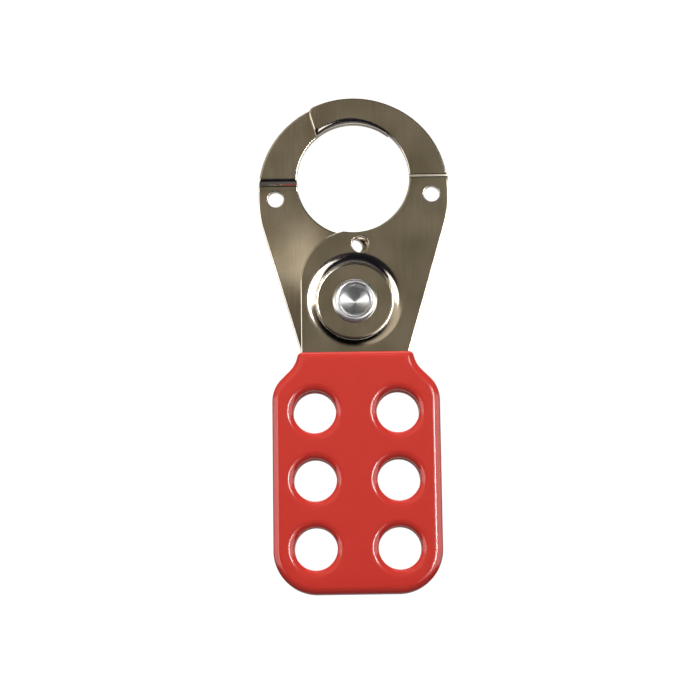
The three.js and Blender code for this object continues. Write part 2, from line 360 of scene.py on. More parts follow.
def fill_between(blank, holes):
    bpy.ops.object.select_all(action="DESELECT")
    for hole in holes:
        hole.select_set(True)
    blank.select_set(True)
    bpy.context.view_layer.objects.active = blank
    bpy.ops.object.join()
    mesh = blank.data
    rim = np.zeros(len(mesh.vertices), np.float32)
    mesh.attributes[RIM].data.foreach_get("value", rim)
    loops = np.zeros(len(mesh.loops), np.int32)
    mesh.loops.foreach_get("edge_index", loops)
    uses = np.bincount(loops, minlength=len(mesh.edges))
    ends = np.zeros(2 * len(mesh.edges), np.int32)
    mesh.edges.foreach_get("vertices", ends)
    ends = ends.reshape(-1, 2)
    inner = (uses == 1) & (rim[ends] > 0).all(1)
    chosen = np.zeros(len(mesh.vertices), bool)
    chosen[ends[inner].ravel()] = True
    bpy.ops.object.mode_set(mode="EDIT")
    bpy.context.tool_settings.mesh_select_mode = (False, True, False)
    bpy.ops.mesh.select_all(action="DESELECT")
    leave_edit()
    mesh.edges.foreach_set("select", inner)
    mesh.vertices.foreach_set("select", chosen)
    bpy.ops.object.mode_set(mode="EDIT")
    bpy.ops.mesh.fill(use_beauty=True)
    leave_edit()
    return blank


# %% [markdown]
# The net gets its thickness in one extrude, and is then cut by bisecting planes. A plane is
# needed wherever the metal bends, because a face can only bend at a vertex.

# %% Thickness and cuts
def thicken(obj, depth):
    only(obj)
    edit("FACE")
    bpy.ops.mesh.select_all(action="SELECT")
    bpy.ops.mesh.extrude_region_move(TRANSFORM_OT_translate={"value": (0, depth, 0)})
    bpy.ops.mesh.select_all(action="SELECT")
    bpy.ops.mesh.normals_make_consistent(inside=False)
    leave_edit()


def cut_across(obj, axis, levels):
    only(obj)
    edit("VERT")
    for level in levels:
        bpy.ops.mesh.select_all(action="SELECT")
        point, normal = [0, 0, 0], [0, 0, 0]
        point[axis], normal[axis] = level, 1
        bpy.ops.mesh.bisect(plane_co=point, plane_no=normal, use_fill=False)
    leave_edit()


def open_edges(obj):
    loops = np.zeros(len(obj.data.loops), np.int32)
    obj.data.loops.foreach_get("edge_index", loops)
    return int((np.bincount(loops, minlength=len(obj.data.edges)) != 2).sum())


# %% [markdown]
# ## The plates
# A plate is blanked from 1.6 mm strip and struck once. The strike rounds the edges on the
# die side, presses a round boss in at the pivot until the two plates touch there, and
# joggles the jaw inwards so that it slides on the other jaw. The bosses keep the handles
# apart by the thickness of their coats.

# %% How finely the net is ringed
EDGE_ROUND = 0.22
HOLE_ROUND = 0.1
JAW_ROLL = 1.4
rim_steps = quarter_steps(EDGE_ROUND, 4) + [0.42]
jaw_roll_steps = [0.6, 0.95, JAW_ROLL]
hole_steps = quarter_steps(HOLE_ROUND, 3) + [0.3]
# The shares of the boss wall's width that its tight foot and then its shoulder reach.
WALL_SHARES = (0.04, 0.12)
# The net is left free of other rings this far from the pivot and from the gauge hole.
PIVOT_CLEARING, GAUGE_CLEARING = 12.9, 4.2
# Fine cuts just below the joggle, and the span round it where no plain cut is needed.
FOOT_CUTS = [-2.5, -2.2, -1.9, -1.6, -1.4, -1.35, -1.3, -1.25, -1.2]
FINE_FROM, FINE_TO = -2.6, 1.5
print("rings at the edge:", [round(step, 3) for step in rim_steps + jaw_roll_steps], "mm")


# %% [markdown]
# One function makes the net of either plate. They differ only in the gauge hole, which the
# toolmaker has set a little to one side in the front plate.

# %% The flat net of a plate
def plate_net(name, gauge_x):
    blank = rimmed_blank(name, outline, rim_steps + jaw_roll_steps)
    gauge = (gauge_x, GAUGE_HOLE_Z)
    clear_rings(blank, 0, pivot.z, PIVOT_CLEARING, rim_steps[-1])
    clear_rings(blank, *gauge, GAUGE_CLEARING, rim_steps[-1])
    seat = [RIVET_HOLE_RADIUS + d for d in hole_steps]
    rings = [RIVET_HOLE_RADIUS, *seat, *np.linspace(5.2, BOSS_FLOOR_RADIUS - 0.5, 5)]
    rings += list(BOSS_FLOOR_RADIUS + np.arange(-0.4, 0.01, 0.05))
    wall = [0, WALL_SHARES[0], WALL_SHARES[1], 1]
    for start, end, steps in zip(wall, wall[1:], (5, 10, 14)):
        shares = np.linspace(start, end, steps + 1)[1:]
        rings += list(BOSS_FLOOR_RADIUS + shares * (BOSS_RADIUS - BOSS_FLOOR_RADIUS))
    rings += [BOSS_RADIUS + 0.07]
    boss = ringed_hole(0, pivot.z, rings, [r - RIVET_HOLE_RADIUS for r in rings[1:]], 120)
    clear_rings(boss, *gauge, GAUGE_HOLE_RADIUS + 0.7, 0)
    holes = [boss]
    bores = [(gauge, GAUGE_HOLE_RADIUS), (JAW_HOLE, JAW_HOLE_RADIUS)]
    bores += [(centre, PADLOCK_HOLE_RADIUS + COAT) for centre in padlock_holes]
    for centre, radius in bores:
        radii = [radius] + [radius + d for d in hole_steps]
        holes.append(ringed_hole(*centre, radii, hole_steps, 40))
    fill_between(blank, holes)
    thicken(blank, SHEET)
    joggle_cuts = [JOGGLE_START + JOGGLE_LENGTH * i / 14 for i in range(15)]
    plain_cuts = [z for z in np.arange(-38, 17, 1.5) if not FINE_FROM < z < FINE_TO]
    cut_across(blank, 2, [*FOOT_CUTS, *joggle_cuts, 1.2, *plain_cuts])
    cut_across(blank, 0, np.arange(-19.5, 20, 1.5))
    cut_across(blank, 2, GAUGE_HOLE_Z + np.arange(-3.9, 1.5, 0.3))
    cut_across(blank, 0, gauge_x + np.arange(-3.6, 3.7, 0.4))
    print(name, "net:", len(blank.data.polygons), "faces, open edges", open_edges(blank))
    return blank


FRONT_GAUGE, REAR_GAUGE = 1.4, 0.0
front_plate = plate_net("front_plate", FRONT_GAUGE)
rear_plate = plate_net("rear_plate", REAR_GAUGE)

# %% [markdown]
# The strike is a rule for where each vertex of the net goes. A step in sheet metal is an S
# of two equal arcs, and a face of the sheet stays square to it, half the thickness away.

# %% A step of two equal arcs, and one with a tight foot
def pressed_step(share, length, rise, offset):
    """How far along and across the step the metal goes, for shares 0 to 1 of its length."""
    bend = 2 * math.atan2(abs(rise), length)
    radius = length / (2 * math.sin(bend))
    side = math.copysign(1, rise)
    share = np.clip(share, 0, 1)
    leaving = share < 0.5
    turn = bend * np.where(leaving, 2 * share, 2 - 2 * share)
    swing = radius * np.sin(turn)
    lift = side * radius * (1 - np.cos(turn))
    along = np.where(leaving, swing, length - swing) - side * offset * np.sin(turn)
    across = np.where(leaving, lift, rise - lift) + offset * np.cos(turn)
    return along, across


def formed_step(share, rise, steepest, foot_share):
    """A step whose foot may turn tighter than its shoulder, for shares 0 to 1 of its length."""
    steep = math.radians(steepest)
    both = rise / (1 - math.cos(steep))
    foot, shoulder = both * foot_share, both * (1 - foot_share)
    turn = steep * np.where(share < 0.4, np.clip(share, 0, 1) / 0.4, np.clip(1 - share, 0, 1) / 0.6)
    at_foot = share < 0.4
    length = both * math.sin(steep)
    along = np.where(at_foot, foot * np.sin(turn), length - shoulder * np.sin(turn))
    across = np.where(at_foot, foot * (1 - np.cos(turn)), rise - shoulder * (1 - np.cos(turn)))
    return along, across


def drawn_wall(share):
    """The wall of the boss on its hollow side, from the floor out to the flat sheet.

    It turns up tightly at the foot, leans back over the shoulder, and then eases out flat.
    """
    foot, shoulder = 0.12, 0.5
    steep, easy = math.radians(62), math.radians(27)
    ease = BOSS_RADIUS - BOSS_FLOOR_RADIUS - foot * math.sin(steep)
    ease -= shoulder * (math.sin(steep) - math.sin(easy))
    first = np.clip(share / WALL_SHARES[0], 0, 1)
    second = np.clip((share - WALL_SHARES[0]) / (WALL_SHARES[1] - WALL_SHARES[0]), 0, 1)
    third = np.clip((share - WALL_SHARES[1]) / (1 - WALL_SHARES[1]), 0, 1)
    turn = steep - (steep - easy) * second
    out = foot * np.sin(steep * first) + shoulder * (math.sin(steep) - np.sin(turn)) + ease * third
    up = foot * (1 - np.cos(steep * first)) + shoulder * (np.cos(turn) - math.cos(steep))
    up = up + ease * math.tan(easy) * (third - third**2 / 2)
    total = foot * (1 - math.cos(steep)) + shoulder * (math.cos(easy) - math.cos(steep))
    total += ease * math.tan(easy) / 2
    return out, up / total


def rounded(distance, width, depth):
    """How far a quarter round has dropped at a distance from the edge."""
    inside = np.clip(1 - distance / np.maximum(width, 1e-6), 0, 1)
    return depth * (1 - np.sqrt(np.maximum(0, 1 - inside**2)))


def smooth(value, low, high):
    share = np.clip((value - low) / (high - low), 0, 1)
    return share * share * (3 - 2 * share)


# %% [markdown]
# The foot of the boss is not a sharp ring. The metal starts to draw in several millimetres
# farther out, more on the side that bulges, and this broad slope is what catches the light
# beside the pivot. The punch leaves a low bead round the boss's floor, and the sheet lifts a
# little just below the joggle. The jaw's inner edge on the die side is rolled over wider than
# the rest, most of all at the tip.

# %% Striking the net
FOOT_REACH, FOOT_RISE_FRONT, FOOT_RISE_BACK = 28, 0.14, 0.8
BEAD_HEIGHT, BEAD_REACH = 0.045, 0.2
RIDGE_HEIGHT, RIDGE_FALL, RIDGE_LENGTH = 0.06, 0.25, 1.5
JAW_ROLL_DEPTH = 0.55


def strike(obj, gauge_x):
    mesh = obj.data
    co = np.zeros(3 * len(mesh.vertices))
    mesh.vertices.foreach_get("co", co)
    x, y, z = co.reshape(-1, 3).T.copy()
    rim = np.zeros(len(x), np.float32)
    mesh.attributes[RIM].data.foreach_get("value", rim)
    front = y < SHEET / 2

    holes = [(*pivot.xz, RIVET_HOLE_RADIUS), (gauge_x, GAUGE_HOLE_Z, GAUGE_HOLE_RADIUS)]
    holes += [(*JAW_HOLE, JAW_HOLE_RADIUS)]
    holes += [(*centre, PADLOCK_HOLE_RADIUS + COAT) for centre in padlock_holes]
    to_hole = np.min([np.hypot(x - hx, z - hz) - radius for hx, hz, radius in holes], axis=0)
    width = np.where(to_hole < 0.35, HOLE_ROUND, EDGE_ROUND)
    drop = rounded(rim, width, width)
    around = np.degrees(np.arctan2(z, x))
    from_opening = np.hypot(x, z) - OPENING_RADIUS
    roll_width = JAW_ROLL * smooth(around, 0, 110)
    jaw_roll = rounded(np.maximum(from_opening, 0), roll_width, JAW_ROLL_DEPTH * roll_width)
    drop = drop + np.where(front & (z > 1.0), jaw_roll, 0)

    from_pivot = np.hypot(x - pivot.x, z - pivot.z)
    foot = np.clip((FOOT_REACH - from_pivot) / (FOOT_REACH - BOSS_RADIUS), 0, 1) ** 2
    foot *= smooth(from_pivot, 9.0, 11.4) * smooth(-z, 1.2, 5)
    bulge = np.where(front, FOOT_RISE_FRONT, FOOT_RISE_BACK) * foot

    offset = np.where(front, -1, 1) * (SHEET / 2 - drop)
    level = -BODY_OFFSET + offset + bulge

    share = (z - JOGGLE_START) / JOGGLE_LENGTH
    joggled, in_joggle = share > 0, (share > 0) & (share < 1)
    rise = BODY_OFFSET - JAW_OFFSET
    near_along, near_across = formed_step(share, rise, 80, 0.5)
    far_along, far_across = formed_step(share, rise, 60, 0.14)
    step_z = np.where(front, JOGGLE_OUTER_FOOT + near_along, JOGGLE_START + far_along)
    new_z = np.where(in_joggle, step_z, z)
    step_y = np.where(front, near_across, far_across)
    new_y = np.where(joggled, -BODY_OFFSET + offset + np.where(share < 1, step_y, rise), level)
    crest = JOGGLE_START - RIDGE_FALL
    ridge = smooth(z, JOGGLE_START, crest) * smooth(z, JOGGLE_START - RIDGE_LENGTH, crest)
    new_y = new_y + np.where(front, 0, RIDGE_HEIGHT * ridge)

    share = (from_pivot - BOSS_FLOOR_RADIUS) / (BOSS_RADIUS - BOSS_FLOOR_RADIUS)
    in_boss = share < 1
    length = BOSS_RADIUS - BOSS_FLOOR_RADIUS
    fall = BOSS_OFFSET - BODY_OFFSET
    along, across = pressed_step(share, length, fall, offset)
    out, up = drawn_wall(np.clip(share, 0, 1))
    along = np.where(front, out, along)
    across = np.where(front, fall * up + offset, across)
    radius = np.where(share > 0, BOSS_FLOOR_RADIUS + along, from_pivot)
    growth = np.where(in_boss, radius / np.maximum(from_pivot, 1e-6), 1)
    across_bead = (from_pivot - BOSS_FLOOR_RADIUS + BEAD_REACH) / BEAD_REACH
    bead = BEAD_HEIGHT * np.cos(np.clip(across_bead, -1, 1) * math.pi / 2)
    new_y = np.where(in_boss, -BOSS_OFFSET + across + bulge - np.where(front, bead, 0), new_y)
    new_x = pivot.x + (x - pivot.x) * growth
    new_z = np.where(in_boss, pivot.z + (z - pivot.z) * growth, new_z)

    mesh.vertices.foreach_set("co", np.column_stack([new_x, new_y, new_z]).ravel())
    mesh.update()
    only(obj)
    bpy.ops.object.shade_smooth_by_angle(angle=math.radians(40))
    print(obj.name, "struck: y from", round(new_y.min(), 2), "to", round(new_y.max(), 2), "mm")


strike(front_plate, FRONT_GAUGE)
strike(rear_plate, REAR_GAUGE)

# %% [markdown]
# ## The dipped handles
# The handle is dipped in liquid vinyl and cured, which leaves an even coat over the steel,
# round at every edge, with a soft lip rolled into each hole. It is made as a net too: rings
# along the outside edge and round each hole carry the rounding.

# %% The coat's outline and its net
def coat_outline():
    corner = COAT_EDGE + 0.1
    across = math.sqrt((SHOULDER_HOLLOW + corner) ** 2 - corner**2)
    bearing = math.degrees(math.atan2(corner, across))
    corner_x = COAT_NECK_HALF_WIDTH + SHOULDER_HOLLOW - across
    side = joined_open(
        arc(corner_x, COAT_TOP_Z - corner, corner, 90, bearing, 0.25), handle_side(0, bearing)
    )
    return joined(side, mirrored(side))


def coat_net(name):
    corner = COAT_EDGE + 0.08
    rim_steps = [d for d in quarter_steps(COAT_EDGE_WIDTH, 8) if d < corner - 0.1]
    blank = rimmed_blank(name, coat_outline(), rim_steps + [corner, COAT_EDGE_WIDTH])
    for side in (-1, 1):
        clear_rings(blank, side * (COAT_NECK_HALF_WIDTH - 1.4), COAT_TOP_Z - 1.4, 0.9, corner)
    lip_steps = quarter_steps(LIP_WIDTH, 8) + [LIP_WIDTH + 0.3]
    radii = [PADLOCK_HOLE_RADIUS] + [PADLOCK_HOLE_RADIUS + d for d in lip_steps]
    holes = [ringed_hole(*centre, radii, lip_steps, 72) for centre in padlock_holes]
    fill_between(blank, holes)
    thicken(blank, COAT_DEPTH)
    cut_across(blank, 2, np.arange(-92, -41, 3.0))
    cut_across(blank, 0, np.arange(-16, 17, 4.0))
    return blank


# %% [markdown]
# Holes and outside edge round over by different amounts, so a vertex needs to know which of
# the two it belongs to: it belongs to a hole if it lies within a lip's width of one.

# %% Rounding the coat
def roll_coat(obj):
    mesh = obj.data
    co = np.zeros(3 * len(mesh.vertices))
    mesh.vertices.foreach_get("co", co)
    co = co.reshape(-1, 3)
    x, y, z = co.T
    rim = np.zeros(len(x), np.float32)
    mesh.attributes[RIM].data.foreach_get("value", rim)
    to_hole = np.min([np.hypot(x - cx, z - cz) for cx, cz in padlock_holes], axis=0)
    in_lip = to_hole < PADLOCK_HOLE_RADIUS + LIP_WIDTH + 0.31
    lip = rounded(to_hole - PADLOCK_HOLE_RADIUS, LIP_WIDTH, LIP_DEPTH)
    edge = rounded(rim, COAT_EDGE_WIDTH, COAT_EDGE)
    drop = np.where(in_lip, lip, edge)
    front = y < COAT_DEPTH / 2
    outer = -(HANDLE_GAP / 2 + COAT_DEPTH)
    co[:, 1] = np.where(front, outer + drop, -HANDLE_GAP / 2 - drop)
    mesh.vertices.foreach_set("co", co.ravel())
    mesh.update()


# %% [markdown]
# The steel's place inside the coat is cut out with a blank of the handle, made a hair larger
# than the plate all round. It runs out through the top, which opens the mouth that the plate
# comes out of.

# %% Hollowing the coat
def hollow_coat(coat, fit=CAVITY_FIT):
    side = handle_side(COAT - fit)
    mouth = (side[0][0], COAT_TOP_Z + 3)
    core = rimmed_blank("core", joined([mouth] + side, mirrored([mouth] + side)), [0.3])
    radius = PADLOCK_HOLE_RADIUS + COAT - fit
    holes = [ringed_hole(*c, [radius, radius + 0.3], [0.3], 48) for c in padlock_holes]
    fill_between(core, holes)
    thicken(core, SHEET + 2 * fit)
    for vertex in core.data.vertices:
        vertex.co.y -= HANDLE_GAP / 2 + COAT + SHEET + fit
    only(coat)
    cut = coat.modifiers.new("cavity", "BOOLEAN")
    cut.object, cut.operation, cut.solver = core, "DIFFERENCE", "EXACT"
    bpy.ops.object.modifier_apply(modifier="cavity")
    bpy.data.objects.remove(core)
    bpy.ops.object.shade_smooth_by_angle(angle=math.radians(40))


front_coat = coat_net("front_coat")
roll_coat(front_coat)
hollow_coat(front_coat)
print("coat:", len(front_coat.data.polygons), "faces, open edges", open_edges(front_coat))

# %% [markdown]
# ## The rivet
# A semi-tubular rivet has a domed head, and a drilled end that a punch rolls outwards into a
# ring. Its section is a line of vertices that is spun round the pivot.

# %% Spinning the rivet
SEAT = BOSS_OFFSET + SHEET / 2 + 0.05
CREST = -(SEAT + 1.0)
CLINCH_RADIUS = 4.95
DRILL_RADIUS = 3.4
DOME_RADIUS = 5.6
DOME_HEIGHT = 1.5


def rivet_section():
    """Radius and depth of the section, from the bottom of the drilled end to the dome."""
    roll = (CLINCH_RADIUS - DRILL_RADIUS) / 2
    drill_end = CREST + 1.4
    point = DRILL_RADIUS / math.tan(math.radians(59))
    cone = [(r, drill_end + point * (1 - r / DRILL_RADIUS)) for r in (0, 0.25, 1.2, 2.2, 2.9, 3.25)]
    wall = [(DRILL_RADIUS, drill_end - 0.12), (DRILL_RADIUS, (drill_end + CREST + roll) / 2)]
    ring = arc(DRILL_RADIUS + roll, CREST + roll, roll, 180, 360, 0.16)
    sphere = (DOME_RADIUS**2 + DOME_HEIGHT**2) / (2 * DOME_HEIGHT)
    edge = math.degrees(math.acos(DOME_RADIUS / sphere))
    under = [(CLINCH_RADIUS, -SEAT), (3.9, -SEAT), (3.9, SEAT), (DOME_RADIUS - 0.25, SEAT)]
    rim = arc(DOME_RADIUS - 0.25, SEAT + 0.25, 0.25, -90, 30, 0.08)
    dome = arc(0, SEAT + DOME_HEIGHT - sphere, sphere, edge + 4, 90, 0.45)
    return cone + wall + ring + under + rim + dome


def spun(name, section, steps):
    bpy.ops.object.select_all(action="DESELECT")
    bpy.ops.mesh.primitive_circle_add(vertices=len(section), radius=1, fill_type="NOTHING")
    obj = bpy.context.object
    obj.name = name
    for vertex, (radius, depth) in zip(obj.data.vertices, section):
        vertex.co = (pivot.x + radius, depth, pivot.z)
    ends = {0, len(section) - 1}
    edit("EDGE")
    bpy.ops.mesh.select_all(action="DESELECT")
    leave_edit()
    for e in obj.data.edges:
        e.select = set(e.vertices) == ends
    edit("EDGE")
    bpy.ops.mesh.delete(type="EDGE")
    bpy.ops.mesh.select_all(action="SELECT")
    bpy.ops.mesh.spin(
        steps=steps, angle=2 * math.pi, center=(pivot.x, 0, pivot.z), axis=(0, 1, 0)
    )
    bpy.ops.mesh.select_all(action="SELECT")
    bpy.ops.mesh.remove_doubles(threshold=1e-4)
    bpy.ops.mesh.normals_make_consistent(inside=False)
    leave_edit()
    bpy.ops.object.shade_smooth_by_angle(angle=math.radians(40))
    return obj


rivet = spun("rivet", rivet_section(), 96)
print("rivet:", len(rivet.data.polygons), "faces, open edges", open_edges(rivet))

# %% [markdown]
# ## Finishing the pieces
# The rear half is the front half turned round, so its plate and coat are turned by half a
# turn about Z. Each piece is then brought to metres and put on its body, and the measured
# node that it stands for is hidden.

# %% Copy, turn and place
def turned_round(obj):
    only(obj)
    bpy.ops.transform.rotate(value=math.pi, orient_axis="Z", center_override=(0, 0, 0))
    bpy.ops.object.transform_apply(location=True, rotation=True, scale=True)


only(front_coat)
bpy.ops.object.duplicate()
rear_coat = bpy.context.object
rear_coat.name = "rear_coat"
turned_round(rear_coat)
turned_round(rear_plate)


def finish_piece(obj, body, node):
    only(obj)
    bpy.ops.transform.resize(value=(0.001, 0.001, 0.001), center_override=(0, 0, 0))
    bpy.ops.object.transform_apply(location=True, rotation=True, scale=True)
    obj.data.name = obj.name
    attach(obj, body)
    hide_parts(node)
    low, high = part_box(node)
    made = [v for c in obj.bound_box for v in c]
    made_z = [round(level * 1000, 2) for level in (min(made[2::3]), max(made[2::3]))]
    print(obj.name, "z", made_z, "mm; measured", round(low.z * 1000, 2), round(high.z * 1000, 2))


finish_piece(front_plate, "front_half", "front_jaw_plate")
finish_piece(front_coat, "front_half", "front_handle_coating")
finish_piece(rivet, "front_half", "pivot_rivet")
finish_piece(rear_plate, "rear_half", "rear_jaw_plate")
finish_piece(rear_coat, "rear_half", "rear_handle_coating")

# %% [markdown]
# ## Materials
# A material starts from what the real one is. Its colours are written as the sRGB hex that a
# colour picker shows, and turned to the linear values that the renderer works in.

# %% Helpers for materials
def hex_colour(text):
    channels = [int(text[i : i + 2], 16) / 255 for i in (1, 3, 5)]
    linear = [c / 12.92 if c <= 0.04045 else ((c + 0.055) / 1.055) ** 2.4 for c in channels]
    return (*linear, 1.0)


def new_material(name):
    material = bpy.data.materials.new(name)
    material.use_nodes = True
    return material, material.node_tree, material.node_tree.nodes["Principled BSDF"]


def add(tree, kind, links=None, **settings):
    """Add a node. Settings name its properties or its sockets, and links feed its sockets."""
    node = tree.nodes.new(kind)
    for key, value in settings.items():
        if key.startswith("in_"):
            socket = key[3:]
            node.inputs[int(socket) if socket.isdigit() else socket].default_value = value
        else:
            setattr(node, key, value)
    for socket, source in (links or {}).items():
        tree.links.new(source, node.inputs[socket])
    return node


# %% [markdown]
# ### Bright nickel plate
# The plates are electroplated with bright nickel straight over the rolled strip. It is a
# warm grey mirror, a little hazy from the rolling lines underneath, and slightly wavy
# because the press has pulled the sheet about. Small pits and specks sit in the plating.

# %% Bright nickel over pressed strip
nickel, tree, shader = new_material("bright_nickel_plate_on_pressed_steel")
place = add(tree, "ShaderNodeTexCoord").outputs["Object"]
# Waves of about 9 mm, 0.02 mm high: the sheet's own unevenness.
waves = add(tree, "ShaderNodeTexNoise", {"Vector": place}, in_Scale=110, in_Detail=1.0)
# Rolling lines, 0.25 mm apart across and drawn out 25 times along the strip.
along = add(tree, "ShaderNodeMapping", {"Vector": place}, in_Scale=(4000, 4000, 160))
lines = add(tree, "ShaderNodeTexNoise", {"Vector": along.outputs[0]}, in_Scale=1.0, in_Detail=2.0)
# Pits in the plating, about 0.3 mm across and 0.012 mm deep, a few on each plate.
cells = add(tree, "ShaderNodeTexVoronoi", {"Vector": place}, in_Scale=420)
pits = add(tree, "ShaderNodeMapRange", {"Value": cells.outputs["Distance"]},
           **{"in_1": 0.03, "in_2": 0.085, "in_3": 1.0, "in_4": 0.0})
some = add(tree, "ShaderNodeMapRange", {"Value": add(
    tree, "ShaderNodeSeparateColor", {0: cells.outputs["Color"]}).outputs[0]},
    **{"in_1": 0.9, "in_2": 0.92})
pitted = add(tree, "ShaderNodeMath", {0: pits.outputs[0], 1: some.outputs[0]}, operation="MULTIPLY")
bump_waves = add(tree, "ShaderNodeBump", {"Height": waves.outputs["Fac"]},
                 in_Strength=1.0, in_Distance=0.00002)
bump_lines = add(
    tree, "ShaderNodeBump", {"Height": lines.outputs["Fac"], "Normal": bump_waves.outputs[0]},
    in_Strength=0.5, in_Distance=0.0000005)
bump_pits = add(
    tree, "ShaderNodeBump", {"Height": pitted.outputs[0], "Normal": bump_lines.outputs[0]},
    in_Strength=1.0, in_Distance=0.000012, invert=True)
haze = add(tree, "ShaderNodeMapRange", {"Value": lines.outputs["Fac"]},
           **{"in_1": 0.3, "in_2": 0.7, "in_3": 0.09, "in_4": 0.15})
# The plating is a little thinner and greyer on the same scale as the waves.
cloud = add(tree, "ShaderNodeMapRange", {"Value": waves.outputs["Fac"]},
            **{"in_1": 0.32, "in_2": 0.68})
tint = add(tree, "ShaderNodeMix", {"Factor": cloud.outputs[0]}, data_type="RGBA",
           in_6=hex_colour("#dcd4c6"), in_7=hex_colour("#c0b7a7"))
tree.links.new(tint.outputs[2], shader.inputs["Base Color"])
tree.links.new(haze.outputs[0], shader.inputs["Roughness"])
tree.links.new(bump_pits.outputs[0], shader.inputs["Normal"])
shader.inputs["Metallic"].default_value = 1.0
front_plate.data.materials.append(nickel)
rear_plate.data.materials.append(nickel)
print(nickel.name, "with", len(tree.nodes), "nodes")

# %% [markdown]
# ### Dipped vinyl
# Plastisol, a liquid PVC, is dipped and cured in an oven. It sets to a soft gloss whose skin
# is faintly rippled, with a little orange peel.

# %% Red dipped vinyl
vinyl, tree, shader = new_material("red_pvc_dip_coat")
place = add(tree, "ShaderNodeTexCoord").outputs["Object"]
# Ripples of about 4 mm, 0.05 mm high, where the liquid has run, and a peel of 0.5 mm on them.
ripple = add(tree, "ShaderNodeTexNoise", {"Vector": place}, in_Scale=260, in_Detail=1.5)
peel = add(tree, "ShaderNodeTexNoise", {"Vector": place}, in_Scale=1800, in_Detail=1.0)
bump_ripple = add(tree, "ShaderNodeBump", {"Height": ripple.outputs["Fac"]},
                  in_Strength=1.0, in_Distance=0.00005)
bump_peel = add(
    tree, "ShaderNodeBump", {"Height": peel.outputs["Fac"], "Normal": bump_ripple.outputs[0]},
    in_Strength=0.6, in_Distance=0.000006)
tint = add(tree, "ShaderNodeMix", {"Factor": ripple.outputs["Fac"]}, data_type="RGBA",
           in_6=hex_colour("#cb3a31"), in_7=hex_colour("#c7372e"))
haze = add(tree, "ShaderNodeMapRange", {"Value": peel.outputs["Fac"]},
           **{"in_1": 0.3, "in_2": 0.7, "in_3": 0.11, "in_4": 0.15})
tree.links.new(tint.outputs[2], shader.inputs["Base Color"])
tree.links.new(haze.outputs[0], shader.inputs["Roughness"])
tree.links.new(bump_peel.outputs[0], shader.inputs["Normal"])
shader.inputs["IOR"].default_value = 1.53
front_coat.data.materials.append(vinyl)
rear_coat.data.materials.append(vinyl)
print(vinyl.name, "with", len(tree.nodes), "nodes")

# %% [markdown]
# ### Zinc-plated rivet steel
# The rivet is drilled and rolled while it spins, so fine rings run round its axis.

# %% Turned and plated steel
zinc, tree, shader = new_material("zinc_plated_turned_steel")
place = add(tree, "ShaderNodeTexCoord").outputs["Object"]
centred = add(tree, "ShaderNodeMapping", {"Vector": place},
              in_Location=(-pivot.x / 1000, 0, -pivot.z / 1000), in_Scale=(1, 0, 1))
radius = add(tree, "ShaderNodeVectorMath", {0: centred.outputs[0]}, operation="LENGTH")
# Turning rings 0.3 mm apart: finer ones are there too, but are too fine to see.
phase = add(tree, "ShaderNodeMath", {0: radius.outputs["Value"]}, operation="MULTIPLY",
            in_1=2 * math.pi / 0.0003)
rings = add(tree, "ShaderNodeMath", {0: phase.outputs[0]}, operation="SINE")
bump_rings = add(tree, "ShaderNodeBump", {"Height": rings.outputs[0]}, in_Strength=0.5,
                 in_Distance=0.000003)
dull = add(tree, "ShaderNodeTexNoise", {"Vector": place}, in_Scale=900, in_Detail=2.0)
haze = add(tree, "ShaderNodeMapRange", {"Value": dull.outputs["Fac"]},
           **{"in_1": 0.3, "in_2": 0.7, "in_3": 0.3, "in_4": 0.38})
tree.links.new(haze.outputs[0], shader.inputs["Roughness"])
tree.links.new(bump_rings.outputs[0], shader.inputs["Normal"])
shader.inputs["Base Color"].default_value = hex_colour("#dcdcdc")
shader.inputs["Metallic"].default_value = 1.0
rivet.data.materials.append(zinc)
print(zinc.name, "with", len(tree.nodes), "nodes")

# %% [markdown]
# ## Studio
# Bright metal shows the room more than itself, so the room is planned like a small
# studio: a softbox and a strip light to each side, a white card overhead and behind,
# and a dim wall in front and black below, which give the plates their grey and the pressed
# forms their edges. Each panel is a window in the direction that a reflection looks in, with
# X to the right, Y away from the camera and Z up. The camera itself sees a plain white sweep,
# and matt surfaces are lit by an even fill.

# %% World
world = bpy.data.worlds.new("studio")
bpy.context.scene.world = world
world.use_nodes = True
tree = world.node_tree
tree.nodes.clear()
direction = add(tree, "ShaderNodeTexCoord").outputs["Generated"]
X, Y, Z = add(tree, "ShaderNodeSeparateXYZ", {0: direction}).outputs


def within(*limits):
    """1 where each direction component has passed its soft limit, and 0 outside."""
    found = None
    for value, outside, inside in limits:
        part = add(tree, "ShaderNodeMapRange", {"Value": value}, interpolation_type="SMOOTHSTEP",
                   in_1=outside, in_2=inside).outputs[0]
        if found is not None:
            part = add(tree, "ShaderNodeMath", {0: found, 1: part}, operation="MULTIPLY").outputs[0]
        found = part
    return found


def glow(colour, strength, *limits):
    power = add(tree, "ShaderNodeMath", {0: within(*limits)}, operation="MULTIPLY", in_1=strength)
    return add(tree, "ShaderNodeBackground", {"Strength": power.outputs[0]}, in_Color=(*colour, 1))


WHITE = (1, 1, 1)
